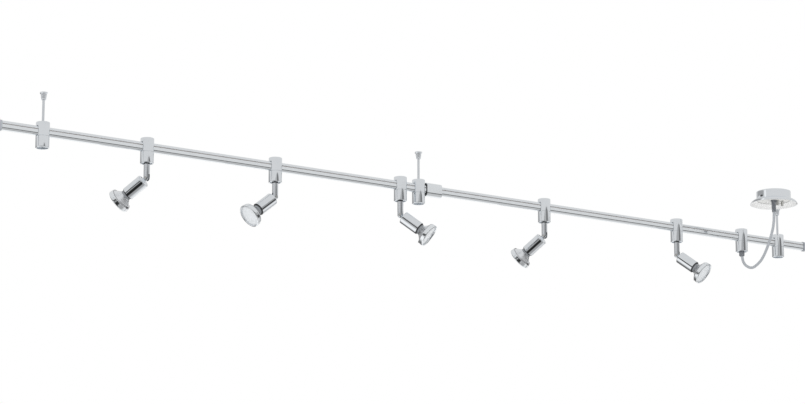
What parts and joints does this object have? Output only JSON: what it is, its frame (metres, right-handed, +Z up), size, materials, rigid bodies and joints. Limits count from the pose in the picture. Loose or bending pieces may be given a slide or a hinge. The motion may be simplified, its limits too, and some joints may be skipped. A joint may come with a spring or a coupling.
{
  "type": "track lighting fixture",
  "caption": "Ceiling track light: chrome rail pieces joined end to end on slim posts, with sliding, swivelling reflector spots, a round canopy and a short feed cord.",
  "frame": {"origin": "mouth of the middle post's ceiling hole, on the ceiling plane", "axes": "+X along the rails towards the feed end, +Z up to the ceiling, -Y towards the canopy's side"},
  "size_m": [2.007, 0.2492, 0.2074],
  "materials": {
    "rail_chrome": "satin",
    "chrome": "polished",
    "rod_chrome": "polished",
    "holder_chrome": "polished",
    "canopy_chrome": "polished",
    "foot_metal": "satin",
    "steel": "zinc plated",
    "tinned_copper": "tinned",
    "insulator": "matt",
    "end_plastic": "satin",
    "black_plastic": "satin",
    "gland_plastic": "satin",
    "white_plastic": "satin",
    "cord_sheath": "satin PVC",
    "lamp_glass": "clear, faceted reflector"
  },
  "bodies": {
    "rail_frame": {"rail_left": "rail_chrome", "rail_right": "rail_chrome", "insulator_strips": "insulator", "conductors": "tinned_copper", "end_caps": "end_plastic", "connector_sleeve": "rail_chrome", "connector_core": "black_plastic", "ceiling_cones": "foot_metal", "post_rods": "rod_chrome", "post_caps": "chrome", "post_bodies": "chrome", "feed_cap": "chrome", "feed_body": "chrome", "feed_gland": "gland_plastic", "supply_cord": "cord_sheath", "canopy_base": "white_plastic", "canopy_cover": "canopy_chrome", "canopy_gland": "gland_plastic", "terminal_block": "white_plastic", "terminal_screws": "steel"},
    "adapter_1": {"adapter_cap_1": "chrome", "adapter_body_1": "chrome", "contacts_1": "tinned_copper"},
    "stem_arm_1": {"stem_1": "rod_chrome", "knuckle_pin_1": "steel"},
    "head_1": {"holder_1": "holder_chrome", "socket_1": "black_plastic", "lamp_1": "lamp_glass"},
    "adapter_2": {"adapter_cap_2": "chrome", "adapter_body_2": "chrome", "contacts_2": "tinned_copper"},
    "stem_arm_2": {"stem_2": "rod_chrome", "knuckle_pin_2": "steel"},
    "head_2": {"holder_2": "holder_chrome", "socket_2": "black_plastic", "lamp_2": "lamp_glass"},
    "adapter_3": {"adapter_cap_3": "chrome", "adapter_body_3": "chrome", "contacts_3": "tinned_copper"},
    "stem_arm_3": {"stem_3": "rod_chrome", "knuckle_pin_3": "steel"},
    "head_3": {"holder_3": "holder_chrome", "socket_3": "black_plastic", "lamp_3": "lamp_glass"},
    "adapter_4": {"adapter_cap_4": "chrome", "adapter_body_4": "chrome", "contacts_4": "tinned_copper"},
    "stem_arm_4": {"stem_4": "rod_chrome", "knuckle_pin_4": "steel"},
    "head_4": {"holder_4": "holder_chrome", "socket_4": "black_plastic", "lamp_4": "lamp_glass"},
    "adapter_5": {"adapter_cap_5": "chrome", "adapter_body_5": "chrome", "contacts_5": "tinned_copper"},
    "stem_arm_5": {"stem_5": "rod_chrome", "knuckle_pin_5": "steel"},
    "head_5": {"holder_5": "holder_chrome", "socket_5": "black_plastic", "lamp_5": "lamp_glass"}
  },
  "joints": [
    {"name": "slide_1", "type": "slide", "parent": "rail_frame", "child": "adapter_1", "axis": [1, 0, 0], "range_m": [-0.15, 0.12]},
    {"name": "pan_1", "type": "hinge", "parent": "adapter_1", "child": "stem_arm_1", "pos_m": [-0.639, 0, -0.1405], "axis": [0, 0, 1], "range_deg": [-203, 137]},
    {"name": "tilt_1", "type": "hinge", "parent": "stem_arm_1", "child": "head_1", "pos_m": [-0.639, 0, -0.1405], "axis": [-0.8387, -0.5446, 0], "range_deg": [-33.5, 56.5]},
    {"name": "slide_2", "type": "slide", "parent": "rail_frame", "child": "adapter_2", "axis": [1, 0, 0], "range_m": [-0.12, 0.12]},
    {"name": "pan_2", "type": "hinge", "parent": "adapter_2", "child": "stem_arm_2", "pos_m": [-0.346, 0, -0.1405], "axis": [0, 0, 1], "range_deg": [-80, 260]},
    {"name": "tilt_2", "type": "hinge", "parent": "stem_arm_2", "child": "head_2", "pos_m": [-0.346, 0, -0.1405], "axis": [0, -1, 0], "range_deg": [-38.5, 51.5]},
    {"name": "slide_3", "type": "slide", "parent": "rail_frame", "child": "adapter_3", "axis": [1, 0, 0], "range_m": [-0.12, 0.012]},
    {"name": "pan_3", "type": "hinge", "parent": "adapter_3", "child": "stem_arm_3", "pos_m": [-0.045, 0, -0.1405], "axis": [0, 0, 1], "range_deg": [-218, 122]},
    {"name": "tilt_3", "type": "hinge", "parent": "stem_arm_3", "child": "head_3", "pos_m": [-0.045, 0, -0.1405], "axis": [0.6691, 0.7431, 0], "range_deg": [-37.5, 52.5]},
    {"name": "slide_4", "type": "slide", "parent": "rail_frame", "child": "adapter_4", "axis": [1, 0, 0], "range_m": [-0.12, 0.12]},
    {"name": "pan_4", "type": "hinge", "parent": "adapter_4", "child": "stem_arm_4", "pos_m": [0.3215, 0, -0.1405], "axis": [0, 0, 1], "range_deg": [-197.5, 142.5]},
    {"name": "tilt_4", "type": "hinge", "parent": "stem_arm_4", "child": "head_4", "pos_m": [0.3215, 0, -0.1405], "axis": [-0.887, -0.4617, 0], "range_deg": [-35.5, 54.5]},
    {"name": "slide_5", "type": "slide", "parent": "rail_frame", "child": "adapter_5", "axis": [1, 0, 0], "range_m": [-0.12, 0.06]},
    {"name": "pan_5", "type": "hinge", "parent": "adapter_5", "child": "stem_arm_5", "pos_m": [0.6795, 0, -0.1405], "axis": [0, 0, 1], "range_deg": [-204, 136]},
    {"name": "tilt_5", "type": "hinge", "parent": "stem_arm_5", "child": "head_5", "pos_m": [0.6795, 0, -0.1405], "axis": [0.829, 0.5592, 0], "range_deg": [-37.5, 52.5]}
  ]
}
